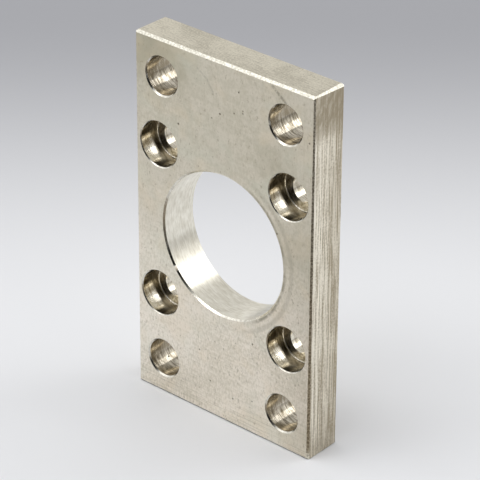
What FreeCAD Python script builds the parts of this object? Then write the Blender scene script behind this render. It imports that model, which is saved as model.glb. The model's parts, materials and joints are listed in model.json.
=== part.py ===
# Steel flange plate that fastens a cylinder with a 40 mm bore to a machine frame.
# It is one piece of rectangular bar, cut to length, bored, drilled and counterbored, with its
# edges broken by hand. Sizes are in millimetres.
# The plate stands on its short bottom end. X runs across the width, Y through the thickness
# with the counterbored front face towards -Y, and Z up the height. The origin is the middle
# of the bottom end.
import FreeCAD, Part
import os

# Bar stock
width = 52.0
height = 90.0
thickness = 10.0

# Centring bore, which takes the collar of the cylinder's end cap
bore_diameter = 35.0
bore_break = 0.5

# Four plain holes for the bolts into the machine frame
frame_hole_diameter = 9.0
frame_hole_break = 0.46
frame_pitch_across = 36.0
frame_pitch_along = 72.0

# Four counterbored holes for the socket head screws into the cylinder
screw_hole_diameter = 6.6
screw_hole_break = 0.3
screw_pitch = 38.0
head_recess_diameter = 11.0
head_recess_depth = 5.5
head_recess_break = 0.22
head_recess_corner = 0.25

# Flats on the outer edges. The edges were dressed by hand, so some widen along their length.
front_top_break = 0.57
front_right_break_at_bottom = 0.53
front_right_break_at_top = 0.32
front_left_break = 0.5
front_bottom_break = 0.4
right_top_break_at_front = 0.32
right_top_break_at_back = 0.65
right_bottom_break_at_front = 0.1
right_bottom_break_at_back = 0.36
left_top_break = 0.6
left_bottom_break = 0.3
back_top_break = 0.7
back_right_break = 0.6
back_left_break = 0.5
back_bottom_break = 0.4

# How far a cutting tool runs past the faces of the plate
overrun = 1.0

Vector = FreeCAD.Vector
RIGHT, LEFT = Vector(1, 0, 0), Vector(-1, 0, 0)
BACK, FRONT = Vector(0, 1, 0), Vector(0, -1, 0)
TOP, BOTTOM = Vector(0, 0, 1), Vector(0, 0, -1)

half_size = Vector(width / 2, thickness / 2, height / 2)
centre = Vector(0, 0, height / 2)
front_y = -thickness / 2
back_y = thickness / 2


def bar_blank():
    """The bar as sawn, with sharp edges."""
    corner = Vector(-width / 2, front_y, 0)
    return Part.makeBox(width, thickness, height, corner)


def plate_corner(side):
    """The sharp corner of the bar whose direction from its centre is given by signs."""
    reach = Vector(half_size.x * side.x, half_size.y * side.y, half_size.z * side.z)
    return centre + reach


def broken_edge(plate, face_a, face_b, size_low, size_high):
    """Plate with the edge between two outer faces planed to a flat.

    size_low and size_high are the flat's reach along each face, at the end of the edge with
    the lower coordinate and at the other end.
    """
    along = face_a.cross(face_b)
    if along.x + along.y + along.z < 0:
        along = along * -1
    low = plate_corner(face_a + face_b - along)
    high = plate_corner(face_a + face_b + along)
    start_a = low - face_a * size_low
    start_b = low - face_b * size_low
    end_a = high - face_a * size_high

    run = (end_a - start_a).normalize()
    outward = run.cross(start_b - start_a).normalize()
    if outward.dot(face_a + face_b) < 0:
        outward = outward * -1
    across = outward.cross(run)

    depth = 4 * max(size_low, size_high)
    length = (high - low).Length + 2 * overrun
    block = Part.makeBox(length, depth, depth)
    middle = (start_a + start_b) / 2
    origin = middle - run * overrun - across * (depth / 2)
    turn = FreeCAD.Rotation(run, across, outward, "XYZ")
    block.Placement = FreeCAD.Placement(origin, turn)
    return plate.cut(block)


def dressed_blank():
    """The bar with its twelve outer edges broken."""
    edges = (
        (FRONT, TOP, front_top_break, front_top_break),
        (FRONT, RIGHT, front_right_break_at_bottom, front_right_break_at_top),
        (FRONT, LEFT, front_left_break, front_left_break),
        (FRONT, BOTTOM, front_bottom_break, front_bottom_break),
        (RIGHT, TOP, right_top_break_at_front, right_top_break_at_back),
        (RIGHT, BOTTOM, right_bottom_break_at_front, right_bottom_break_at_back),
        (LEFT, TOP, left_top_break, left_top_break),
        (LEFT, BOTTOM, left_bottom_break, left_bottom_break),
        (BACK, TOP, back_top_break, back_top_break),
        (BACK, RIGHT, back_right_break, back_right_break),
        (BACK, LEFT, back_left_break, back_left_break),
        (BACK, BOTTOM, back_bottom_break, back_bottom_break),
    )
    plate = bar_blank()
    for face_a, face_b, size_low, size_high in edges:
        plate = broken_edge(plate, face_a, face_b, size_low, size_high)
    return plate


def turned_tool(path, x, z):
    """A cutting tool turned from its half section, standing along Y through (x, z)."""
    section = Part.Face(Part.Wire(path))
    tool = section.revolve(Vector(0, 0, 0), Vector(0, 1, 0), 360)
    tool.translate(Vector(x, 0, z))
    return tool


def straight_path(points):
    """Straight edges through (radius, y) points, closed along the tool's axis."""
    corners = [Vector(radius, y, 0) for radius, y in points]
    following = corners[1:] + corners[:1]
    return [Part.LineSegment(a, b).toShape() for a, b in zip(corners, following)]


def plain_hole_path(radius, edge_break):
    """Half section of a straight hole with a 45 degree break at both mouths."""
    mouth = radius + edge_break + overrun
    return straight_path([
        (0, front_y - overrun),
        (mouth, front_y - overrun),
        (radius, front_y + edge_break),
        (radius, back_y - edge_break),
        (mouth, back_y + overrun),
        (0, back_y + overrun),
    ])


def screw_hole_path():
    """Half section of a screw hole: recess for the head, rounded floor corner, then the shank."""
    recess = head_recess_diameter / 2
    shank = screw_hole_diameter / 2
    floor_y = front_y + head_recess_depth
    corner = head_recess_corner
    wall_end = Vector(recess, floor_y - corner, 0)
    floor_start = Vector(recess - corner, floor_y, 0)
    corner_centre = Vector(recess - corner, floor_y - corner, 0)
    corner_middle = corner_centre + Vector(1, 1, 0).normalize() * corner

    points = [
        floor_start,
        Vector(shank, floor_y, 0),
        Vector(shank, back_y - screw_hole_break, 0),
        Vector(shank + screw_hole_break + overrun, back_y + overrun, 0),
        Vector(0, back_y + overrun, 0),
        Vector(0, front_y - overrun, 0),
        Vector(recess + head_recess_break + overrun, front_y - overrun, 0),
        Vector(recess, front_y + head_recess_break, 0),
        wall_end,
    ]
    path = [Part.LineSegment(a, b).toShape() for a, b in zip(points[:-1], points[1:])]
    path.append(Part.Arc(wall_end, corner_middle, floor_start).toShape())
    return path


def four_places(pitch_across, pitch_along):
    """The four corners of a hole pattern centred on the plate."""
    return [
        (centre.x + side * pitch_across / 2, centre.z + level * pitch_along / 2)
        for side in (-1, 1)
        for level in (-1, 1)
    ]


def flange_plate():
    """The finished plate."""
    plate = dressed_blank()
    bore_path = plain_hole_path(bore_diameter / 2, bore_break)
    plate = plate.cut(turned_tool(bore_path, centre.x, centre.z))
    frame_path = plain_hole_path(frame_hole_diameter / 2, frame_hole_break)
    for x, z in four_places(frame_pitch_across, frame_pitch_along):
        plate = plate.cut(turned_tool(frame_path, x, z))
    for x, z in four_places(screw_pitch, screw_pitch):
        plate = plate.cut(turned_tool(screw_hole_path(), x, z))
    return plate.Solids[0]


def main():
    os.makedirs("parts", exist_ok=True)
    plate = flange_plate()
    plate.exportStep("parts/flange_plate.step")
    box = plate.BoundBox
    print("flange_plate valid", plate.isValid(), "closed", plate.isClosed())
    print("box", [round(v, 3) for v in (box.XMin, box.YMin, box.ZMin, box.XMax, box.YMax, box.ZMax)])
    print("volume cm3", round(plate.Volume / 1000, 3), "faces", len(plate.Faces))


main()
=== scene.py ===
# %% [markdown]
# # A steel flange plate
#
# The object is one rectangular plate of machined steel. It has a turned centre bore, four plain
# holes near its corners and four counterbored screw holes nearer the middle. It stands on one
# short end.
#
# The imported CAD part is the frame: it gives the plate's place and its main sizes. This script
# builds a dressed plate in the same place, gives each surface the finish that a machine or a hand
# left on it, and lights it as a plain studio picture.

# %% Load the frame
import json
import math

import bmesh
import bpy
from mathutils import Matrix, Vector, noise


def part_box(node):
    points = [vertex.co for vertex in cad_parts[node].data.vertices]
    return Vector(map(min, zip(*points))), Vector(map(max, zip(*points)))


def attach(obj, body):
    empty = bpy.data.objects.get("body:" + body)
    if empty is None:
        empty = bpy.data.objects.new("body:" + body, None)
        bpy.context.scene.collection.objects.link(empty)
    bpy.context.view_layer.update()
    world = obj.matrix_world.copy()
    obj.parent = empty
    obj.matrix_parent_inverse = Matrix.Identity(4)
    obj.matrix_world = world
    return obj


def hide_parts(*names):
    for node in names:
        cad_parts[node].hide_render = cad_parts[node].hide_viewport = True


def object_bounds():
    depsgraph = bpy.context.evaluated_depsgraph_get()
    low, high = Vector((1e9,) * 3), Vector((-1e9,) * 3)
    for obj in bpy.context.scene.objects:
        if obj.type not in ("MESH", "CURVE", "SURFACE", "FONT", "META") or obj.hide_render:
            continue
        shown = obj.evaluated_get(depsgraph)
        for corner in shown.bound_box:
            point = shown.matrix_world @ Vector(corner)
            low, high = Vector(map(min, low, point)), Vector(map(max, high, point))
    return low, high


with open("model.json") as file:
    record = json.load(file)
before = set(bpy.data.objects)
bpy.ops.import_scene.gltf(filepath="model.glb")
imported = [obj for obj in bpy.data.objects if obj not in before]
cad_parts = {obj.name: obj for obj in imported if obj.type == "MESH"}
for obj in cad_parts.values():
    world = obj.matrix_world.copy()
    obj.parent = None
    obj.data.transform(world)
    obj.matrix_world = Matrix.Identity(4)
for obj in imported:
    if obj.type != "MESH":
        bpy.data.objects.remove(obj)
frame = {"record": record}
cad_low, cad_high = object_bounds()
print("CAD box in metres", tuple(cad_low), tuple(cad_high))

# %% [markdown]
# ## The camera
#
# The plate is seen from the right of its front face and from above, through a long lens, so its
# upright edges stay almost parallel. A camera looks along its own -Z, so its three axes are the
# columns of a matrix: right, up, and back towards the photographer.

# %% Place the camera
frame_pixels = 480
focal_pixels = 2773.7
sensor_width = 36.0
camera_azimuth = math.radians(41.46)
camera_elevation = math.radians(28.60)
camera_roll = math.radians(0.35)
camera_distance = 0.6186
aim_right, aim_up = 0.00066, -0.00026
aim_point = (cad_low + cad_high) / 2

back = Vector((
    math.sin(camera_azimuth) * math.cos(camera_elevation),
    -math.cos(camera_azimuth) * math.cos(camera_elevation),
    math.sin(camera_elevation),
))
level_right = Vector((math.cos(camera_azimuth), math.sin(camera_azimuth), 0))
level_up = back.cross(level_right)
right = math.cos(camera_roll) * level_right + math.sin(camera_roll) * level_up
up = back.cross(right)
scene = bpy.context.scene


def new_object(name, data):
    """An object that holds a mesh, a lamp or a camera, linked to the scene."""
    made = bpy.data.objects.new(name, data)
    scene.collection.objects.link(made)
    return made


camera_data = bpy.data.cameras.new("camera")
camera_data.sensor_width = sensor_width
camera_data.lens = focal_pixels / frame_pixels * sensor_width
camera_data.clip_start = 0.05
camera_data.clip_end = 20
camera = new_object("camera", camera_data)
place = aim_point + aim_right * right + aim_up * up + camera_distance * back
camera.matrix_world = Matrix.Translation(place) @ Matrix((right, up, back)).transposed().to_4x4()
scene.camera = camera
print("camera lens in mm", round(camera_data.lens, 2), "at", tuple(round(v, 3) for v in place))

# %% [markdown]
# ## Sizes
#
# `mm` turns a drawing size into metres. The outer box comes from the CAD node, and the bore and
# both hole patterns from the record's mounts. Only what a mount doesn't hold is written here: the
# recess for a screw head and the small broken edges. A cutter shakes a little, so the bore and
# the plain holes come out wider than drawn by `cutter_play`, within their loose fits.

# %% Read the sizes
mm = 0.001
low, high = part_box("flange_plate")
centre = (low + high) / 2
mounts = {mount["name"]: mount["dims"] for mount in frame["record"]["mounts"]}


def mount_sizes(name, *keys):
    """Sizes of one mount, in metres."""
    return [mounts[name][key] * mm for key in keys]


pattern_keys = ("hole_r_mm", "spacing_x_mm", "spacing_y_mm")
bore_radius, = mount_sizes("centring_bore", "r_mm")
frame_hole_radius, frame_across, frame_along = mount_sizes("frame_bolts", *pattern_keys)
screw_hole_radius, screw_across, screw_along = mount_sizes("cylinder_screws", *pattern_keys)

recess_radius = 5.5 * mm
recess_depth = 5.5 * mm
recess_corner = 0.25 * mm
bore_break = 0.40 * mm
frame_hole_break = 0.32 * mm
recess_break = 0.22 * mm
screw_hole_break = 0.3 * mm
cutter_play = 0.08 * mm
print("plate in mm", [round(v / mm, 2) for v in high - low], "bore radius", bore_radius / mm)

# %% [markdown]
# ## The finishes
#
# A face attribute called `finish` holds a number that says which tool left the face. A Boolean
# keeps such an attribute, on what is left of the bar and on what the cutting tool leaves behind,
# so the materials can be handed out by one rule at the end.

# %% Name the finishes
finishes = (
    "ground_face", "drawn_side", "sawn_end", "filed_edge", "filed_end_edge", "turned_bore",
    "broken_rim", "drilled_wall", "recess_wall", "recess_floor", "recess_corner", "shank_wall", "pit",
)


def store(mesh, name, kind, domain, values):
    """Gives each face or point of a mesh its own value under a name."""
    slot = "vector" if kind == "FLOAT_VECTOR" else "value"
    mesh.attributes.new(name, kind, domain).data.foreach_set(slot, values)


def mark_faces(mesh, names):
    """Stores the finish of each face, given by name in the order of the faces."""
    store(mesh, "finish", "FLOAT", "FACE", [finishes.index(name) for name in names])


def solid_mesh(name, points, faces, names):
    """A closed mesh with the finish of each face, its faces turned outwards."""
    mesh = bpy.data.meshes.new(name)
    mesh.from_pydata(points, [], faces)
    mark_faces(mesh, names)
    shaper = bmesh.new()
    shaper.from_mesh(mesh)
    bmesh.ops.recalc_face_normals(shaper, faces=shaper.faces)
    shaper.to_mesh(mesh)
    shaper.free()
    print(name, "faces", len(mesh.polygons))
    return mesh


print(len(finishes), "finishes")

# %% [markdown]
# ## The bar with its broken edges
#
# The blank is flat bar, sawn to length. Every outer edge was then dressed by hand with a file, so
# each one is a narrow flat of about half a millimetre. A file doesn't cut evenly: some flats
# widen along their length, and all of them waver a little. A Bevel modifier would give twelve
# equal flats, so the bar is built from rows of points instead. Each side of the outline has four
# rows: where the front flat leaves the front face, where it meets the side, and the same two at
# the back.

# %% Sizes of the filed flats
def flats_in_metres(**flats):
    """The reach of each side's flat at its start and at its end."""
    return {side: (start * mm, end * mm) for side, (start, end) in flats.items()}


front_flat = flats_in_metres(bottom=(0.4, 0.4), right=(0.53, 0.32), top=(0.57, 0.57), left=(0.5, 0.5))
back_flat = flats_in_metres(bottom=(0.4, 0.4), right=(0.6, 0.6), top=(0.7, 0.7), left=(0.5, 0.5))
# The flat on the corner where each side starts: its reach at the front and at the back.
corner_flat = flats_in_metres(bottom=(0.3, 0.3), right=(0.1, 0.36), top=(0.32, 0.65), left=(0.6, 0.6))
outward = {
    "bottom": Vector((0, 0, -1)),
    "right": Vector((1, 0, 0)),
    "top": Vector((0, 0, 1)),
    "left": Vector((-1, 0, 0)),
}
sides = list(outward)
side_after = dict(zip(sides, sides[1:] + sides[:1]))
side_before = dict(zip(side_after.values(), sides))
flat_waver = 0.035 * mm
waver_length = 2.2 * mm
point_spacing = 0.75 * mm


def waver(place, seed):
    """A small smooth wander along an edge, in metres."""
    return flat_waver * noise.noise(place / waver_length + Vector((0, 0, seed)))


print("widest flat in mm", max(max(pair) for pair in back_flat.values()) / mm)

# %% [markdown]
# At a corner of the bar three flats meet in one point. Its distances from the three sharp faces
# follow from the three flats: each flat is the plane on which two of those distances add up to
# its reach.

# %% Points of one end of the bar's edges
def sharp_corner(side, y):
    """The sharp corner at which a side starts."""
    reach = outward[side] + outward[side_before[side]]
    return Vector((centre.x + reach.x * high.x, y, centre.z + reach.z * (high.z - centre.z)))


def triple_point(side, y, inward, flats, corner_reach):
    """Where the flats of two neighbouring sides meet the flat between the sides."""
    before = side_before[side]
    reach, reach_before = flats[side][0], flats[before][1]
    depth = (reach + reach_before - corner_reach) / 2
    from_side = max(reach - depth, 0)
    from_before = max(reach_before - depth, 0)
    place = sharp_corner(side, y) + inward * depth
    return place - outward[side] * from_side - outward[before] * from_before


def edge_rows(side, y, inward, flats, corner_index, seed):
    """Two rows of points along a flat: on the big face, and on the side of the bar."""
    before, after = side_before[side], side_after[side]
    start, end = sharp_corner(side, y), sharp_corner(after, y)
    along = (end - start).normalized()
    face_start = start + along * flats[before][1]
    face_end = end - along * flats[after][0]
    side_start = start + along * corner_flat[side][corner_index]
    side_end = end - along * corner_flat[after][corner_index]
    steps = round((end - start).length / point_spacing)

    on_face, on_side = [], []
    for step in range(steps + 1):
        share = step / steps
        reach = flats[side][0] + (flats[side][1] - flats[side][0]) * share
        inner = face_start.lerp(face_end, share) - outward[side] * reach
        outer = side_start.lerp(side_end, share) + inward * reach
        if 0 < step < steps:
            inner -= outward[side] * waver(inner, seed)
            outer += inward * waver(outer, seed + 9)
        on_face.append(inner)
        on_side.append(outer)
    return on_face, on_side


print("points along a long side", round((high.z - low.z) / point_spacing) + 1)

# %% Build the bar
bar_points, bar_faces, bar_finishes = [], [], []


def add_point(place):
    bar_points.append(place)
    return len(bar_points) - 1


def add_face(corners, finish):
    bar_faces.append(corners)
    bar_finishes.append(finish)


def strip(row_a, row_b, finish):
    """Quads between two rows of points."""
    for step in range(len(row_a) - 1):
        add_face((row_a[step], row_a[step + 1], row_b[step + 1], row_b[step]), finish)


def dressed_end(y, inward, flats, corner_index, seed):
    """The flats round one big face. Returns the rows on the face and on the sides."""
    face_rows, side_rows, corners = {}, {}, {}
    for number, side in enumerate(sides):
        rows = edge_rows(side, y, inward, flats, corner_index, seed + number)
        face_rows[side] = [add_point(p) for p in rows[0][:-1]]
        side_rows[side] = [add_point(p) for p in rows[1]]
        reach = corner_flat[side][corner_index]
        corners[side] = add_point(triple_point(side, y, inward, flats, reach))
    for side in sides:
        finish = "filed_end_edge" if side in ("bottom", "top") else "filed_edge"
        strip(face_rows[side] + face_rows[side_after[side]][:1], side_rows[side], finish)
        face_corner, triple = face_rows[side][0], corners[side]
        start, end_before = side_rows[side][0], side_rows[side_before[side]][-1]
        for corner in ((face_corner, triple, start), (face_corner, end_before, triple),
                       (triple, end_before, start)):
            add_face(corner, "filed_end_edge")
    add_face([point for side in sides for point in face_rows[side]], "ground_face")
    return side_rows


front_rows = dressed_end(low.y, Vector((0, 1, 0)), front_flat, 0, 1)
back_rows = dressed_end(high.y, Vector((0, -1, 0)), back_flat, 1, 21)
for side in sides:
    before = side_before[side]
    finish = "sawn_end" if side in ("bottom", "top") else "drawn_side"
    strip(front_rows[side], back_rows[side], finish)
    corner = (front_rows[before][-1], front_rows[side][0], back_rows[side][0], back_rows[before][-1])
    add_face(corner, "filed_end_edge")

bar_mesh = solid_mesh("bar", bar_points, bar_faces, bar_finishes)
bar = new_object("dressed_plate", bar_mesh)

# %% [markdown]
# ## Turned cutting tools
#
# A drill, a counterbore and a boring bar all leave a surface of revolution. So each cutting tool
# is a solid turned about the Y axis from a short list of stations: how deep, how wide, and which
# finish the band up to the next station leaves. That carries the broken edges, the rounded floor
# corner and the finishes in one go. The tool reaches past both faces of the plate, and the
# Boolean finds where its sloping mouth meets the face.
#
# Rims are broken by hand with a scraper, so the mouth of a tool wavers slightly round its turn.
# The scraper is never quite square to the face either. The bore's front mouth is shifted up,
# which leaves its lower rim steeper. The attribute `mouth` marks the points of a front mouth, so
# that a later step can lean each of the other holes its own way.

# %% A tool turned about Y
overrun = 0.4 * mm
rim_waver = 0.018 * mm
rim_lumps = 2.5


def turned_tool(name, stations, segments, lean_x=0.0, lean_z=0.0):
    """A closed solid of revolution. Each station is (y, radius, finish of the band after it)."""
    points, faces, names, mouth = [], [], [], []
    for number, (y, radius, finish) in enumerate(stations):
        at_mouth = 1.0 if number == 0 else 0.0
        for step in range(segments):
            angle = math.tau * step / segments
            spot = Vector((math.cos(angle), number, math.sin(angle)))
            swell = rim_waver * noise.noise(spot * rim_lumps) if finish == "broken_rim" else 0
            x = (radius + swell) * spot.x + lean_x * at_mouth
            z = (radius + swell) * spot.z + lean_z * at_mouth
            points.append((x, y, z))
            mouth.append(at_mouth)
    for band in range(len(stations) - 1):
        first, second = band * segments, (band + 1) * segments
        for step in range(segments):
            after = (step + 1) % segments
            faces.append((first + step, first + after, second + after, second + step))
            names.append(stations[band][2])
    for ring in (0, len(stations) - 1):
        faces.append([ring * segments + step for step in range(segments)])
        names.append("broken_rim")

    mesh = solid_mesh(name, points, faces, names)
    store(mesh, "mouth", "FLOAT", "POINT", mouth)
    return new_object(name, mesh)


def plain_hole(radius, edge_break, finish):
    """Stations of a straight hole with a broken rim at both mouths."""
    mouth = radius + edge_break + overrun
    return (
        (low.y - overrun, mouth, "broken_rim"),
        (low.y + edge_break, radius, finish),
        (high.y - edge_break, radius, "broken_rim"),
        (high.y + overrun, mouth, "broken_rim"),
    )


# %% Turn the boring bar and the two drills
bore_stations = plain_hole(bore_radius + cutter_play, bore_break, "turned_bore")
bore_tool = turned_tool("bore_tool", bore_stations, segments=360, lean_x=0.009 * mm, lean_z=0.08 * mm)

drill_stations = plain_hole(frame_hole_radius + cutter_play, frame_hole_break, "drilled_wall")
frame_drill = turned_tool("frame_drill", drill_stations, segments=120)

floor_y = low.y + recess_depth
corner_steps = 5
rounded_corner = []
for step in range(corner_steps):
    turn = math.pi / 2 * step / corner_steps
    y = floor_y - recess_corner * (1 - math.sin(turn))
    radius = recess_radius - recess_corner * (1 - math.cos(turn))
    rounded_corner.append((y, radius, "recess_corner"))

screw_drill = turned_tool("screw_drill", (
    (low.y - overrun, recess_radius + recess_break + overrun, "broken_rim"),
    (low.y + recess_break, recess_radius, "recess_wall"),
    *rounded_corner,
    (floor_y, recess_radius - recess_corner, "recess_floor"),
    (floor_y, screw_hole_radius, "shank_wall"),
    (high.y - screw_hole_break, screw_hole_radius, "broken_rim"),
    (high.y + overrun, screw_hole_radius + screw_hole_break + overrun, "broken_rim"),
), segments=128)

# %% [markdown]
# ## Pits and knocks
#
# Steel that has lain in a box carries small pits and knocks. A pit is cut by a flattened ball of
# few faces, because there are many of them. Some are scattered by chance over the whole bar. The
# ones that catch the eye are each (x, z, radius) on the front face, in millimetres from the
# middle of the bottom end. One more lies on the wall of the lower left hole, so every point also
# carries the way its surface faces.

# %% The pit cutter and the pits that catch the eye
pit_flatness = 0.45
pit_lift = 0.05
front_pits = (
    (4.7, 84.4, 0.23), (5.9, 80.3, 0.19), (5.9, 79.7, 0.19), (-0.7, 77.5, 0.27), (3.4, 79.0, 0.21),
    (-3.1, 75.8, 0.19), (-13.0, 71.1, 0.28), (24.7, 78.9, 0.24), (16.0, 54.1, 0.25),
    (9.2, 23.5, 0.27), (-6.8, 15.8, 0.20), (-3.5, 8.8, 0.23), (3.4, 6.8, 0.25), (9.2, 8.5, 0.18),
)

wall_pit_place, wall_pit_radius = Vector((-21.30, 0.10, 5.83)) * mm, 0.24 * mm
wall_pit_facing = Vector((-frame_across / 2, 0, centre.z - frame_along / 2)) - wall_pit_place
wall_pit_facing.y = 0

pit_mesh = bpy.data.meshes.new("pit_tool")
shaper = bmesh.new()
bmesh.ops.create_icosphere(shaper, subdivisions=2, radius=1.0)
shaper.to_mesh(pit_mesh)
shaper.free()
mark_faces(pit_mesh, ["pit"] * len(pit_mesh.polygons))
pit_tool = new_object("pit_tool", pit_mesh)

seen_spots = [((x * mm, low.y, z * mm), radius * mm, (0, -1, 0)) for x, z, radius in front_pits]
seen_spots.append((wall_pit_place, wall_pit_radius, wall_pit_facing.normalized()))
places, radii, facings = zip(*seen_spots)
seen_mesh = bpy.data.meshes.new("seen_pits")
seen_mesh.from_pydata(places, [], [])
store(seen_mesh, "size", "FLOAT", "POINT", radii)
store(seen_mesh, "facing", "FLOAT_VECTOR", "POINT", [part for facing in facings for part in facing])
seen_pits = new_object("seen_pits", seen_mesh)
print("pits that catch the eye", len(seen_spots))

# %% [markdown]
# ## Helpers for node trees
#
# One small helper makes a node, sets its options and fills its inputs, each with a plain value or
# with another node's output. The others are short ways to write the nodes that come up often.
# Most of them find the tree by the sockets that they are given.

# %% Node helpers
def node(tree, kind, inputs=None, **options):
    """One node. inputs maps a socket's name or number to a value or to another socket."""
    made = tree.nodes.new(kind)
    for name, value in options.items():
        setattr(made, name, value)
    for name, value in (inputs or {}).items():
        if isinstance(value, bpy.types.NodeSocket):
            tree.links.new(value, made.inputs[name])
        else:
            made.inputs[name].default_value = value
    return made


def out_of(kind, inputs, **options):
    """The first output of a new node in the tree that its inputs come from."""
    tree = next(v.id_data for v in inputs.values() if isinstance(v, bpy.types.NodeSocket))
    return node(tree, kind, inputs, **options).outputs[0]


def sums(operation, first, second):
    return out_of("ShaderNodeMath", {0: first, 1: second}, operation=operation)


def vectors(operation, first, second=(0, 0, 0)):
    """Vector arithmetic. A distance, a length or a dot product comes out as a number."""
    made = node(first.id_data, "ShaderNodeVectorMath", {0: first, 1: second}, operation=operation)
    return made.outputs["Value" if operation in ("DISTANCE", "LENGTH", "DOT_PRODUCT") else "Vector"]


def scaled(vector, factor):
    return out_of("ShaderNodeVectorMath", {0: vector, "Scale": factor}, operation="SCALE")


def split(vector):
    return node(vector.id_data, "ShaderNodeSeparateXYZ", {0: vector}).outputs


# %% Helpers for geometry
def geometry_tree(name, inputs):
    """An empty Geometry Nodes tree with inputs, named by kind. Returns it and its input sockets."""
    tree = bpy.data.node_groups.new(name, "GeometryNodeTree")
    for kind, labels in inputs.items():
        for label in labels:
            tree.interface.new_socket(label, in_out="INPUT", socket_type="NodeSocket" + kind)
    tree.interface.new_socket("Geometry", in_out="OUTPUT", socket_type="NodeSocketGeometry")
    return tree, tree.nodes.new("NodeGroupInput").outputs


def close_tree(tree, geometry):
    """Ends a tree with its output, sets its nodes out in a row and returns it."""
    tree.links.new(geometry, tree.nodes.new("NodeGroupOutput").inputs["Geometry"])
    for number, made in enumerate(tree.nodes):
        made.location = (number * 200, 0)
    print(tree.name, "nodes", len(tree.nodes))
    return tree


def shape_of(thing):
    """The geometry of an object."""
    return node(thing.id_data, "GeometryNodeObjectInfo", {"Object": thing}).outputs["Geometry"]


def kept(geometry, name, value, domain, kind):
    """The geometry with a value kept on it under a name."""
    return out_of("GeometryNodeStoreNamedAttribute", {
        "Geometry": geometry, "Name": name, "Value": value,
    }, domain=domain, data_type=kind)


def recalled(tree, name, kind="FLOAT"):
    """The value that was kept under a name."""
    made = node(tree, "GeometryNodeInputNamedAttribute", {"Name": name}, data_type=kind)
    return made.outputs["Attribute"]


# %% [markdown]
# ## One tool at four places
#
# Both hole patterns are the corners of a rectangle. So the rule is a grid of two by two points,
# set upright in the plate's middle plane, with the tool on each point. Every copy is turned by a
# chance amount about its own axis, so that the four rims don't waver alike. Its mouth leans a
# little to one side, and the lean swings between the lower pair and the upper pair.

# %% The pattern tree
tree, given = geometry_tree("tool at four places", {
    "Object": ["Drill"],
    "Float": ["Across", "Along"],
    "Vector": ["Middle", "Lean", "Lean swing"],
    "Int": ["Seed"],
})
corners = out_of("GeometryNodeMeshGrid", {
    "Size X": given["Across"], "Size Y": given["Along"], "Vertices X": 2, "Vertices Y": 2,
})
upright = out_of("GeometryNodeTransform", {
    "Geometry": corners, "Translation": given["Middle"], "Rotation": (math.pi / 2, 0, 0),
})
turn = out_of("FunctionNodeRandomValue", {
    "Min": (0, 0, 0), "Max": (0, math.tau, 0), "Seed": given["Seed"],
}, data_type="FLOAT_VECTOR")
copies = out_of("GeometryNodeInstanceOnPoints", {
    "Points": upright, "Instance": shape_of(given["Drill"]), "Rotation": turn,
})
height = split(node(tree, "GeometryNodeInputPosition").outputs[0])["Z"]
above_middle = sums("SUBTRACT", height, split(given["Middle"])["Z"])
share_of_half = sums("DIVIDE", above_middle, sums("DIVIDE", given["Along"], 2.0))
lean = vectors("ADD", given["Lean"], scaled(given["Lean swing"], share_of_half))
leaning = kept(copies, "lean", lean, "INSTANCE", "FLOAT_VECTOR")
solid = out_of("GeometryNodeRealizeInstances", {0: leaning})
shift = scaled(recalled(tree, "lean", "FLOAT_VECTOR"), recalled(tree, "mouth"))
leaned = out_of("GeometryNodeSetPosition", {"Geometry": solid, "Offset": shift})
four_places = close_tree(tree, leaned)

# %% [markdown]
# ## Pits at random
#
# Points are dealt out over the bar's faces with a fixed seed, so each run gives the same pits.
# They share one tree with the pits that are listed one by one. A ball is set on each point with
# its flat side to the surface. Its middle is a little above it, so that none of its corners lies
# in the surface, where a Boolean would leave slivers. Points inherit the attributes of their
# faces, so the bar's `finish` is taken off them: it would otherwise stand in for the ball's own.

# %% The pit tree
tree, given = geometry_tree("pits on the bar", {
    "Geometry": ["Bar"],
    "Object": ["Pit tool", "Seen pits"],
    "Float": ["Pits per square metre", "Smallest pit", "Largest pit", "Pit flatness"],
    "Int": ["Seed"],
})
chance_points = node(tree, "GeometryNodeDistributePointsOnFaces", {
    "Mesh": given["Bar"], "Density": given["Pits per square metre"], "Seed": given["Seed"],
}).outputs
chance_size = node(tree, "FunctionNodeRandomValue", {
    2: given["Smallest pit"], 3: given["Largest pit"], "Seed": given["Seed"],
}, data_type="FLOAT").outputs[1]
plain_points = out_of("GeometryNodeRemoveAttribute", {
    "Geometry": chance_points["Points"], "Name": "finish",
})
sized = kept(plain_points, "size", chance_size, "POINT", "FLOAT")
turned = kept(sized, "facing", chance_points["Normal"], "POINT", "FLOAT_VECTOR")
all_points = node(tree, "GeometryNodeJoinGeometry", {0: turned})
seen_points = out_of("GeometryNodeMeshToPoints", {0: shape_of(given["Seen pits"])})
tree.links.new(seen_points, all_points.inputs[0])

facing, size = recalled(tree, "facing", "FLOAT_VECTOR"), recalled(tree, "size")
aligned = out_of("FunctionNodeAlignRotationToVector", {"Vector": facing}, axis="Z")
flattened = out_of("ShaderNodeCombineXYZ", {"X": 1, "Y": 1, "Z": given["Pit flatness"]})
lifted = scaled(facing, sums("MULTIPLY", size, pit_lift))
raised = out_of("GeometryNodeSetPosition", {"Geometry": all_points.outputs[0], "Offset": lifted})
balls = out_of("GeometryNodeInstanceOnPoints", {
    "Points": raised, "Instance": shape_of(given["Pit tool"]), "Rotation": aligned,
    "Scale": scaled(flattened, size),
})
pit_places = close_tree(tree, out_of("GeometryNodeRealizeInstances", {0: balls}))

# %% [markdown]
# ## Cutting the plate
#
# This tree is the plate itself: the bar, less every tool. The Boolean's exact solver is slower
# than the others, but it gives back one closed solid with clean rims. After it, one Set Material
# node for each finish picks its faces by the `finish` number, so a rim or a pit can't end up with
# its neighbour's surface.

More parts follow.
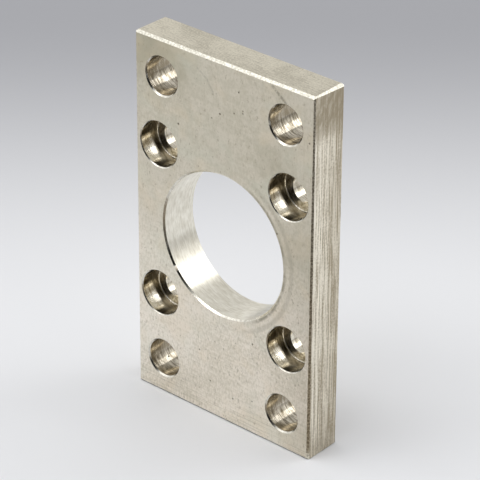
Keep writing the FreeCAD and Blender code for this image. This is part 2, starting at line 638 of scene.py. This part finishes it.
# %% The plate tree
tree, given = geometry_tree("flange plate", {
    "Geometry": ["Geometry"],
    "Object": ["Bore tool", "Frame holes drill", "Screw holes drill", "Pit tool", "Seen pits"],
    "Vector": ["Middle", "Frame holes lean", "Screw holes lean", "Lean swing"],
    "Float": ["Frame holes across", "Frame holes along", "Screw holes across", "Screw holes along",
              "Pits per square metre", "Smallest pit", "Largest pit", "Pit flatness"],
    "Int": ["Seed"],
    "Material": finishes,
})


def pattern(inner_tree, renamed):
    """Another tree as one node, fed by this tree's inputs, some of them with another name."""
    group = node(tree, "GeometryNodeGroup", node_tree=inner_tree)
    for socket in group.inputs:
        tree.links.new(given[renamed.get(socket.name, socket.name)], socket)
    return group.outputs[0]


def four_holes(use):
    """The drill of one hole pattern at its four places."""
    names = ("Drill", "Across", "Along", "Lean")
    return pattern(four_places, {name: use + " " + name.lower() for name in names})


bore_at_middle = out_of("GeometryNodeTransform", {
    "Geometry": shape_of(given["Bore tool"]), "Translation": given["Middle"],
})
frame_holes = four_holes("Frame holes")
screw_holes = four_holes("Screw holes")
pits = pattern(pit_places, {"Bar": "Geometry"})
all_tools = node(tree, "GeometryNodeJoinGeometry")
for tools in (bore_at_middle, frame_holes, screw_holes, pits):
    tree.links.new(tools, all_tools.inputs[0])
cut = out_of("GeometryNodeMeshBoolean", {
    "Mesh 1": given["Geometry"], "Mesh 2": all_tools.outputs[0],
}, operation="DIFFERENCE", solver="EXACT")
finished = out_of("GeometryNodeRealizeInstances", {0: cut})
for number, name in enumerate(finishes):
    same = out_of("FunctionNodeCompare", {
        "A": recalled(tree, "finish"), "B": float(number), "Epsilon": 0.1,
    }, data_type="FLOAT", operation="EQUAL")
    finished = out_of("GeometryNodeSetMaterial", {
        "Geometry": finished, "Selection": same, "Material": given[name],
    })
plate_tree = close_tree(tree, finished)

# %% [markdown]
# ## Bare steel
#
# All the finishes are the same warm grey steel. What differs is how smooth the tool left it, so
# each material starts from one function: a fully metallic surface whose base colour is the colour
# of its reflections. Patterns read the Object coordinates in millimetres, so a noise scale of 2
# means two lumps to the millimetre.

# %% Shader helpers
def new_material(name, settings):
    """A material whose shader has these plain values."""
    material = bpy.data.materials.new(name)
    material.use_nodes = True
    for socket, value in settings.items():
        material.node_tree.nodes["Principled BSDF"].inputs[socket].default_value = value
    return material


def place_in(material):
    """The Object coordinates, in metres."""
    return node(material.node_tree, "ShaderNodeTexCoord").outputs["Object"]


def steel_material(name, roughness=0.4, anisotropy=0.0):
    """A metallic material. Returns it with the place on the plate, in millimetres."""
    settings = {"Metallic": 1.0, "Roughness": roughness, "Anisotropic": anisotropy}
    material = new_material(name, settings)
    return material, scaled(place_in(material), 1 / mm)


def dressed(material, colour, *reliefs, **linked):
    """Links the colour and other sockets of the material's shader, and lays its reliefs over each
    other, each (height from 0 to 1, depth in metres). Returns the material."""
    tree = material.node_tree
    linked["Base Color"] = colour
    for height, depth in reliefs:
        below = {"Normal": linked["Normal"]} if "Normal" in linked else {}
        linked["Normal"] = out_of("ShaderNodeBump", {"Height": height, "Distance": depth, **below})
    for socket, value in linked.items():
        tree.links.new(value, tree.nodes["Principled BSDF"].inputs[socket])
    return material


def stretched(place, scale):
    """The place with each axis scaled: a small number draws the pattern out along that axis."""
    return out_of("ShaderNodeMapping", {"Vector": place, "Scale": scale})


def between(value, start, end, low_value=0.0, high_value=1.0):
    """The value moved smoothly from low_value at start to high_value at end."""
    return out_of("ShaderNodeMapRange", {
        "Value": value, "From Min": start, "From Max": end,
        "To Min": low_value, "To Max": high_value,
    }, interpolation_type="SMOOTHSTEP")


def grain(place, scale, detail=3.0, roughness=0.55, distortion=0.0):
    """Noise from 0 to 1, most of it near the middle."""
    return out_of("ShaderNodeTexNoise", {
        "Vector": place, "Scale": scale, "Detail": detail, "Roughness": roughness,
        "Distortion": distortion,
    })


def full_grain(place, scale, detail=3.0, roughness=0.55, stretch=None):
    """Noise that is spread over the whole range from 0 to 1."""
    if stretch:
        place = stretched(place, stretch)
    return between(grain(place, scale, detail, roughness), 0.35, 0.65)


def blend_colour(share, first, second):
    made = node(share.id_data, "ShaderNodeMix", {"Factor": share}, data_type="RGBA")
    for number, colour in ((6, first), (7, second)):
        if isinstance(colour, bpy.types.NodeSocket):
            share.id_data.links.new(colour, made.inputs[number])
        else:
            made.inputs[number].default_value = (*colour, 1)
    return made.outputs[2]


def coated(colour, films):
    """A colour under films, each (share, colour of the film), the lowest first."""
    for share, film in films:
        colour = blend_colour(share, colour, film)
    return colour


def product(value, *factors):
    for factor in factors:
        value = sums("MULTIPLY", value, factor)
    return value


def weighed(*parts):
    """The sum of (value, weight) pairs."""
    total = 0.0
    for value, weight in parts:
        total = sums("ADD", total, product(value, weight))
    return total


steel_bright = (0.97, 0.905, 0.80)
# Tarnished steel. It is also the colour of the painted shade on the upper part of the big faces.
steel_tarnish_and_shade = (0.47, 0.435, 0.33)
steel_worn = (0.36, 0.33, 0.25)
steel_black = (0.16, 0.14, 0.10)
# Brown of dried oil. In the holes it is partly painted shade.
dried_oil_and_shade = (0.34, 0.285, 0.195)
print("steel from", steel_tarnish_and_shade, "to", steel_bright)

# %% [markdown]
# ## The ground faces
#
# The two big faces were ground and then handled. They are matt, with an even mottle of about
# half a millimetre, faint streaks along X from the grinding and small brown specks. The upper
# part is painted darker in broad clouds, as painted shade, and hands have left dull spots. A thin
# oxide tints the metal straw in one place and greenish in another. Beside the bore something
# round has rubbed arcs, and near the foot lie dark lines from a coarse wheel.

# %% Masks for marks on a face
arc_fade = 0.7


def scratch(place, start, end, width):
    """A mask of 1 along a straight scratch on a big face, between two (x, z) points."""
    origin = Vector((start[0], 0, start[1]))
    run = Vector((end[0], 0, end[1])) - origin
    away = vectors("SUBTRACT", vectors("MULTIPLY", place, (1, 0, 1)), origin)
    share = vectors("DOT_PRODUCT", away, run / run.length_squared)
    held = out_of("ShaderNodeClamp", {"Value": share})
    gap = vectors("DISTANCE", away, scaled(run, held))
    return between(gap, width / 2, width, 1.0, 0.0)


def rubbed_arc(place, inner, outer, roughened):
    """A mask for a ring about the bore, on its right side only, broken up by noise."""
    from_bore = vectors("SUBTRACT", place, (0, 0, centre.z / mm))
    distance = vectors("LENGTH", vectors("MULTIPLY", from_bore, (1, 0, 1)))
    past_inner = between(distance, inner, inner + arc_fade)
    before_outer = between(distance, outer - arc_fade, outer, 1.0, 0.0)
    right_side = between(split(place)["X"], 4, 12)
    return product(past_inner, before_outer, right_side, roughened)


def soft_spot(place, axes_kept, spot, radius, strength):
    """A mask that fades from strength at a spot to nothing at radius."""
    gap = vectors("DISTANCE", vectors("MULTIPLY", place, axes_kept), spot)
    return between(gap, 0, radius, strength, 0.0)


# %% The ground face
# Each dull spot is (x, z, radius, strength).
dull_spots = (
    (-24.0, 90.0, 18.0, 0.60), (24.0, 50.0, 15.0, 0.42), (15.0, 69.0, 9.0, 0.25),
    (25.0, 2.0, 13.0, 0.45), (-12.0, 84.0, 8.0, 0.20),
)
# Each scratch is (start, end, width, strength), in millimetres as (x, z).
scratches = (
    ((14.3, 88.9), (18.4, 85.8), 0.5, 0.55),
    ((-7.7, 86.7), (-4.6, 84.6), 0.35, 0.25),
    ((-4.6, 84.6), (-2.7, 82.0), 0.35, 0.25),
)
# Each arc is (inner radius, outer radius, strength).
arcs = ((17.6, 19.0, 0.9), (19.4, 21.2, 0.3))


def ground_face():
    material, place = steel_material("ground_face")
    height = split(place)["Z"]
    clouds = full_grain(place, 0.07, 2.0)
    lumps = full_grain(place, 0.5, 4.0, 0.6)
    fine = full_grain(place, 2.0, 3.0, 0.6, (1, 1, 0.55))
    streaks = full_grain(place, 1.0, stretch=(0.10, 1, 2.2))
    tone = weighed((clouds, 0.24), (lumps, 0.16), (fine, 0.44), (streaks, 0.16))
    bare = blend_colour(between(tone, 0.1, 0.8), (0.755, 0.695, 0.575), steel_bright)

    # Painted shade: the face is darker towards the top, in broad clouds. The dull spots added to it
    # are real wear.
    cloudy_height = weighed((height, 1.0), (clouds, 16.0))
    tarnish_and_shade = between(cloudy_height, 24, 84, 0.0, 0.78)
    for x, z, radius, strength in dull_spots:
        spot = soft_spot(place, (1, 0, 1), (x, 0, z), radius, strength)
        tarnish_and_shade = sums("ADD", tarnish_and_shade, spot)
    straw = between(grain(place, 0.13, 2.0, 0.5, 0.4), 0.45, 0.72, 0.0, 0.20)
    greenish = between(grain(place, 0.09, 2.0, 0.5, 0.4), 0.48, 0.74, 0.0, 0.22)
    wheel_lines = between(grain(stretched(place, (0.07, 1, 3.0)), 1.0), 0.50, 0.62)
    near_foot = between(height, 2, 14, 0.35, 0.0)
    specks = between(grain(stretched(place, (1.3, 1, 0.7)), 1.1, 2.0, 0.7), 0.60, 0.74, 0.0, 0.55)
    films = [
        (product(tarnish_and_shade, between(lumps, 0, 1, 0.90, 0.74)), steel_tarnish_and_shade),
        (straw, (0.80, 0.66, 0.46)),
        (greenish, (0.60, 0.64, 0.53)),
        (product(wheel_lines, near_foot), steel_tarnish_and_shade),
    ]
    for inner, outer, strength in arcs:
        roughened = between(lumps, 0, 1, 0.3, strength)
        films.append((rubbed_arc(place, inner, outer, roughened), steel_worn))
    films.append((specks, dried_oil_and_shade))
    for start, end, width, strength in scratches:
        broken = product(between(fine, 0.1, 0.8), strength)
        films.append((product(scratch(place, start, end, width), broken), steel_black))
    roughness = between(lumps, 0, 1, 0.36, 0.44)
    return dressed(material, coated(bare, films), (fine, 0.009 * mm), (lumps, 0.02 * mm),
                   Roughness=roughness)


# %% [markdown]
# ## Drawn sides and sawn ends
#
# The long sides keep the surface of the drawn bar: fine lines along Z, some lighter and some
# darker. Near the top and the foot they were rubbed at a slant, which left darker patches and a
# smudge, and they get darker towards the back. The short ends were sawn and smoothed, and are
# the most even surfaces of the plate.

# %% The drawn side and the sawn end
def drawn_side():
    material, place = steel_material("drawn_side", 0.34)
    axes = split(place)
    lines = full_grain(place, 1.0, 3.0, 0.7, (1, 1.7, 0.03))
    hairs = full_grain(place, 1.0, 2.0, stretch=(1, 3.0, 0.09))
    fine = full_grain(place, 2.0, 3.0, 0.65)
    tone = weighed((lines, 0.50), (hairs, 0.28), (fine, 0.22))
    clouds = full_grain(place, 0.15, 2.0)
    towards_back = between(weighed((axes["Y"], 1.0), (clouds, 3.0)), -2, 7)
    lit = sums("SUBTRACT", between(tone, 0.12, 0.72), product(towards_back, 0.46))
    bare = blend_colour(lit, (0.41, 0.35, 0.25), (0.94, 0.88, 0.745))

    slanted = out_of("ShaderNodeVectorRotate", {
        "Vector": place, "Angle": math.radians(25),
    }, rotation_type="X_AXIS")
    strokes = full_grain(slanted, 1.0, 3.0, 0.6, (1, 0.9, 0.25))
    patchy = weighed((axes["Z"], 1.0), (strokes, 3.0))
    at_top = between(patchy, 78.5, 84)
    at_foot = between(patchy, 4, 12, 0.35, 0.0)
    rubbed = product(sums("ADD", at_top, at_foot), between(strokes, 0, 1, 0.85, 0.50))
    smudge = soft_spot(place, (0, 1, 1), (0, 0.6, 85.5), 6.5, 0.85)
    smudge = product(smudge, between(strokes, 0, 1, 1.0, 0.5))
    colour = coated(bare, ((rubbed, dried_oil_and_shade), (smudge, dried_oil_and_shade)))
    return dressed(material, colour, (lines, 0.014 * mm), (fine, 0.008 * mm))


def sawn_end():
    material, place = steel_material("sawn_end", 0.38)
    marks = full_grain(place, 1.0, stretch=(0.30, 2.2, 1))
    fine = full_grain(place, 2.2, 3.0, 0.65)
    clouds = full_grain(place, 0.12, 2.0)
    tone = weighed((marks, 0.25), (fine, 0.45), (clouds, 0.30))
    bare = blend_colour(between(tone, 0.1, 0.9), (0.57, 0.53, 0.43), (0.83, 0.78, 0.65))
    specks = between(grain(place, 1.3, 2.0, 0.7), 0.66, 0.76, 0.0, 0.5)
    return dressed(material, blend_colour(specks, bare, steel_black), (fine, 0.01 * mm))


# %% [markdown]
# ## Filed flats and broken rims
#
# A file and a scraper cut bright new metal, so these narrow flats are lighter and smoother than
# the faces beside them, with small marks. The flats round the short ends were dressed with a
# coarser file, so they are rougher and spread the light further. The bore's rim took a knock at
# its lower left: a round place that is dented, bright and rough.

# %% A flat left by a file, a scraper or the nose of a tool
knock_on_rim = (-14.1, -4.8, 34.2)
knock_radius = 0.9
knock_depth = 0.2 * mm
knock_roughness = 0.75


def fresh_cut(name, roughness, mark_scale, dark, light, depth=0.012 * mm, knock=None):
    """knock is None or the place of a knock, in millimetres."""
    material, place = steel_material(name, roughness)
    marks = full_grain(place, mark_scale)
    colour = blend_colour(marks, dark, light)
    if not knock:
        return dressed(material, colour, (marks, depth))
    dent = soft_spot(place, (1, 1, 1), knock, knock_radius, 1.0)
    dulled = between(dent, 0.1, 0.6, roughness, knock_roughness)
    colour = blend_colour(dent, colour, steel_bright)
    return dressed(material, colour, (dent, knock_depth), (marks, depth), Roughness=dulled)


# %% [markdown]
# ## Turned, bored and drilled walls
#
# A cutting edge that goes round leaves fine rings. They spread a highlight along the hole, as a
# straight bright band down the wall. Noise that is drawn out round the hole and close-set along Y
# gives the rings, and the shader's anisotropy, with its tangent along Y, spreads the gloss. The
# bore was turned and is clean.
#
# The drilled holes are coarser. Their walls carry a brown film, partly dried oil and partly
# painted shade. It darkens the upper part of each wall, so its mask goes by the height above the
# hole's own middle, and in a recess painted shade also darkens the wall deep inside. The nose of
# the counterbore leaves the rounded corner of the floor bright, and the shank behind it is a
# little rougher than the recess.

# %% The round walls
# Going into a recess, the painted shade starts at the first depth and is full from the second,
# in mm along Y.
deep_shade_start, deep_shade_full = -2.3, -1.3


def height_in_hole(place, spacing):
    """Height above the middle of the hole that a place belongs to, in a pattern of two rows."""
    above = sums("SUBTRACT", split(place)["Z"], centre.z / mm)
    row = out_of("ShaderNodeMath", {0: above}, operation="SIGN")
    return sums("SUBTRACT", above, product(row, spacing / mm / 2))


def ringed_wall(name, roughness, anisotropy, dark, light, ring_scale, ring_depth,
                oil_and_shade=None, shade_in_depth=0.0):
    """A wall with rings. The argument after the ring depth is None or (spacing of the holes, height
    where it ends, height where it is full): a brown film on the upper wall, partly dried oil and
    partly painted shade. The last argument is how much painted shade lies deep in a recess."""
    material, place = steel_material(name, roughness, anisotropy)
    rings = full_grain(place, 1.0, 3.0, 0.65, (0.4, ring_scale, 0.4))
    lumps = full_grain(place, 1.0, stretch=(0.5, 0.9, 0.5))
    tone = weighed((rings, 0.60), (lumps, 0.40))
    colour = blend_colour(tone, dark, light)
    if oil_and_shade:
        spacing, oil_shade_end, oil_shade_full = oil_and_shade
        # Painted shade, partly dried oil: a brown film on the upper wall and, in a recess, deep
        # inside.
        above = between(height_in_hole(place, spacing), oil_shade_end, oil_shade_full)
        deep_shade = between(split(place)["Y"], deep_shade_start, deep_shade_full, 0.0, shade_in_depth)
        thinned = between(tone, 0, 1, 0.95, 0.45)
        film = product(sums("MAXIMUM", above, deep_shade), thinned)
        colour = blend_colour(film, colour, dried_oil_and_shade)
    along_hole = node(material.node_tree, "ShaderNodeCombineXYZ", {"Y": 1.0}).outputs[0]
    return dressed(material, colour, (rings, ring_depth), Tangent=along_hole)


def pit():
    material, place = steel_material("pit", 0.6)
    fine = grain(place, 6.0, 2.0)
    colour = blend_colour(fine, (0.20, 0.175, 0.13), (0.40, 0.36, 0.28))
    return dressed(material, colour, (fine, 0.01 * mm))


# %% Make the materials
# Each cut is (roughness, scale of its marks, darkest and lightest colour, depth, knock).
cuts = {
    "filed_edge": (0.33, 2.4, (0.42, 0.38, 0.29), (0.90, 0.86, 0.74)),
    "filed_end_edge": (0.40, 2.0, (0.52, 0.50, 0.43), (0.78, 0.76, 0.68)),
    "broken_rim": (0.22, 1.2, (0.68, 0.65, 0.57), (0.88, 0.86, 0.78), 0.003 * mm, knock_on_rim),
    "recess_corner": (0.20, 2.0, (0.66, 0.62, 0.51), (0.94, 0.91, 0.82)),
    # The recess floor is darker than its walls: painted shade at the bottom of the recess.
    "recess_floor": (0.34, 1.6, (0.32, 0.28, 0.20), (0.66, 0.61, 0.50), 0.01 * mm),
}
# Each wall is (roughness, anisotropy, darkest and lightest colour, scale and depth of its rings,
# oil and painted shade on the upper wall, painted shade in depth).
oil_and_shade_in_frame_holes = (frame_along, -2.5, -0.5)
oil_and_shade_in_recesses = (screw_along, -3.0, -2.2)
walls = {
    "turned_bore": (0.28, 0.5, (0.74, 0.70, 0.59), (0.99, 0.96, 0.86), 2.8, 0.006 * mm),
    # The drilled wall's darkest colour is partly coarse rings and partly painted shade in the holes.
    "drilled_wall": (0.20, 0.75, (0.17, 0.14, 0.09), (0.84, 0.78, 0.66), 3.2, 0.005 * mm,
                     oil_and_shade_in_frame_holes),
    "recess_wall": (0.13, 0.4, (0.66, 0.61, 0.50), (1.0, 0.97, 0.88), 3.2, 0.004 * mm,
                    oil_and_shade_in_recesses, 0.8),
    "shank_wall": (0.18, 0.6, (0.42, 0.37, 0.27), (0.95, 0.90, 0.78), 3.0, 0.004 * mm),
}
materials = {
    "ground_face": ground_face(), "drawn_side": drawn_side(), "sawn_end": sawn_end(), "pit": pit(),
}
materials |= {name: fresh_cut(name, *look) for name, look in cuts.items()}
materials |= {name: ringed_wall(name, *look) for name, look in walls.items()}
print("materials", ", ".join(materials))

# %% [markdown]
# ## Run the tree
#
# A modifier's inputs are set by the sockets' identifiers before the object is first evaluated.
# The evaluated result then becomes a plain mesh. Shading is smooth, but an edge stays sharp where
# two finishes meet or where it bends by more than thirty degrees. That keeps the walls round and
# the rims crisp.

# %% Cut the plate and keep it as a mesh
tools = {
    "Bore tool": bore_tool,
    "Frame holes drill": frame_drill,
    "Screw holes drill": screw_drill,
    "Pit tool": pit_tool,
    "Seen pits": seen_pits,
}
settings = {
    "Middle": (0, 0, centre.z),
    "Frame holes across": frame_across,
    "Frame holes along": frame_along,
    "Screw holes across": screw_across,
    "Screw holes along": screw_along,
    "Frame holes lean": (-0.01 * mm, 0, -0.05 * mm),
    "Screw holes lean": (0.0, 0, -0.05 * mm),
    "Lean swing": (0.06 * mm, 0, -0.01 * mm),
    "Pits per square metre": 6000.0,
    "Smallest pit": 0.05 * mm,
    "Largest pit": 0.10 * mm,
    "Pit flatness": pit_flatness,
    "Seed": 8,
    **tools,
    **materials,
}
bar_mesh.materials.append(materials["ground_face"])
cutting = bar.modifiers.new("cutting", "NODES")
cutting.node_group = plate_tree
for item in plate_tree.interface.items_tree:
    if item.in_out == "INPUT" and item.name in settings:
        cutting[item.identifier] = settings[item.name]

evaluated = bar.evaluated_get(bpy.context.evaluated_depsgraph_get())
plate_mesh = bpy.data.meshes.new_from_object(evaluated)
bar.modifiers.remove(cutting)
bar.data = plate_mesh
plate_mesh.name = "dressed_plate"
for used in tools.values():
    bpy.data.objects.remove(used)

plate_mesh.shade_smooth()
smooth_limit = math.radians(30)
checker = bmesh.new()
checker.from_mesh(plate_mesh)
share_left = checker.calc_volume() / math.prod(high - low)
if not 0.65 < share_left < 0.70:
    raise RuntimeError("the cut went wrong: try another seed for the pits")
finish_layer = checker.faces.layers.float["finish"]
for edge in checker.edges:
    left_by = {face[finish_layer] for face in edge.link_faces}
    edge.smooth = len(left_by) == 1 and edge.calc_face_angle(math.pi) < smooth_limit
open_edges = sum(not edge.is_manifold for edge in checker.edges)
checker.to_mesh(plate_mesh)
checker.free()
print("plate faces", len(plate_mesh.polygons), "open edges", open_edges)
print("share of the bar's box that is left", round(share_left, 4))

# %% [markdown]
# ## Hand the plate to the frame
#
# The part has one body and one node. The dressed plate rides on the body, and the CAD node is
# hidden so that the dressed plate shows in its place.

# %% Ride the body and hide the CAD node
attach(bar, "root")
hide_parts("flange_plate")

# %% [markdown]
# ## The floor
#
# The plate stands on a plain pale sheet that is painted darker away from the camera, as painted
# shade where the light falls off. Metal shows what is round it, so the sheet is also what the
# front face and the lower walls reflect.

# %% The floor
view_ahead = Vector((-math.sin(camera_azimuth), math.cos(camera_azimuth), 0))
floor_half = 2.5
floor_z = low.z - 0.02 * mm


def sheet(name, corners, material_name, settings, start, end, first, second):
    """A flat sheet that isn't part of the plate. It goes from one colour to another between two
    distances ahead of the plate's middle, as the camera looks."""
    material = new_material(material_name, settings)
    ahead = vectors("DOT_PRODUCT", place_in(material), view_ahead)
    colour = blend_colour(between(ahead, start, end), first, second)
    mesh = bpy.data.meshes.new(name)
    mesh.from_pydata(corners, [], [range(len(corners))])
    mesh.materials.append(dressed(material, colour))
    made = new_object(name, mesh)
    return made


floor_corners = [
    (x * floor_half, y * floor_half, floor_z) for x, y in ((-1, -1), (1, -1), (1, 1), (-1, 1))
]
# The sheet's colour is painted shade: pale near the plate, darker away from the camera.
sheet("floor", floor_corners, "paper", {"Roughness": 0.9, "Specular IOR Level": 0.0},
      0.035, 0.225, (0.785, 0.795, 0.82), (0.385, 0.39, 0.415))
print("floor at z in mm", round(floor_z / mm, 3))

# %% [markdown]
# ## Light
#
# Metal is lit by large pale surfaces. The room is a plain pale shell, with a darker side where
# the camera stands, which draws the thin dark lines along the edges. Three soft boxes stand in
# it: one in front to the left and one above, which the top front edge and the lower rims catch,
# and one behind to the right, which makes the bright bands in the holes.

# %% The room
scene.view_settings.view_transform = "Standard"
world = bpy.data.worlds.new("room")
world.use_nodes = True
scene.world = world
tree = world.node_tree
background = tree.nodes["Background"]
direction = node(tree, "ShaderNodeTexCoord").outputs["Generated"]
room_level = 0.84
backdrop_level = 0.8
# Each shade is (towards, change of level, full within, nothing beyond), the angles in degrees.
shades = (
    ((0.50, -0.75, 0.30), -0.84, 24, 52),
    ((0.75, 0.66, 0.00), -0.34, 6, 24),
    ((0.66, 0.66, 0.36), 0.36, 2, 20),
    ((-0.20, 0.70, 0.68), -0.17, 12, 50),
)
level = room_level
for towards, change, inner, outer in shades:
    facing_it = vectors("DOT_PRODUCT", direction, Vector(towards).normalized())
    outer_cos, inner_cos = math.cos(math.radians(outer)), math.cos(math.radians(inner))
    level = sums("ADD", between(facing_it, outer_cos, inner_cos, 0.0, change), level)
seen_level = out_of("ShaderNodeMix", {
    "Factor": node(tree, "ShaderNodeLightPath").outputs["Is Camera Ray"],
    2: level, 3: backdrop_level,
}, data_type="FLOAT")
tree.links.new(seen_level, background.inputs["Strength"])
background.inputs["Color"].default_value = (1.0, 0.995, 0.985, 1)
print("room level", room_level, "with", len(shades), "shades")


# %% The three soft boxes
def soft_box(name, towards, long_way, distance, length, width, radiance):
    """A rectangular lamp that faces the middle of the plate, of that plain brightness."""
    lamp = bpy.data.lights.new(name, "AREA")
    lamp.shape = "RECTANGLE"
    lamp.size = length
    lamp.size_y = width
    lamp.energy = radiance * math.pi * length * width
    away = Vector(towards).normalized()
    along = (Vector(long_way) - away * away.dot(long_way)).normalized()
    turn = Matrix((along, away.cross(along), away)).transposed().to_4x4()
    new_object(name, lamp).matrix_world = Matrix.Translation(centre + away * distance) @ turn
    print(name, "watts", round(lamp.energy, 2))


soft_box("soft_box_front", (-0.58, -0.48, 0.66), (0.64, -0.77, 0), 1.0, 0.9, 0.5, 0.34)
soft_box("soft_box_behind", (0.431, 0.681, 0.595), (0.855, 0, -0.52), 1.0, 0.47, 0.46, 1.9)
soft_box("soft_box_above", (-0.15, -0.40, 1.0), (1, 0, 0), 1.1, 0.9, 0.7, 2.3)

# %% [markdown]
# The photographer's side of the room is dark, and so is the floor beyond the sheet's front edge.
# The sheet itself has to stay whole in every view, so that dark ground is a card which only
# reflections see. It draws the dark line down the right front edge and round the bore's left rim.
# A narrow nose takes it up to the foot of that edge, where the light that the sheet throws back
# makes it paler.

# %% The dark card
# Each corner is (to the right of the middle, towards the camera), in metres.
card_outline = (
    (0.014, 0.0225), (-0.05, 0.034), (-0.9, 1.6), (0.12, 1.6), (0.075, 0.08), (0.027, 0.0225),
)
card_lift = Vector((0, 0, 0.3 * mm))
across_view = Vector((view_ahead.y, -view_ahead.x, 0))
card_corners = [across_view * side - view_ahead * reach + card_lift for side, reach in card_outline]
# Painted reflection of dark ground, seen only in reflections. Its nose is painted paler for the light
# that the sheet throws back.
card = sheet("dark_card", card_corners, "painted_dark_ground", {"Roughness": 1.0},
             -0.11, -0.06, (0.070, 0.060, 0.045), (0.24, 0.205, 0.16))
for ray in ("camera", "diffuse", "transmission", "volume_scatter", "shadow"):
    setattr(card, "visible_" + ray, False)
print("dark card", [tuple(round(v, 3) for v in corner) for corner in card_corners])
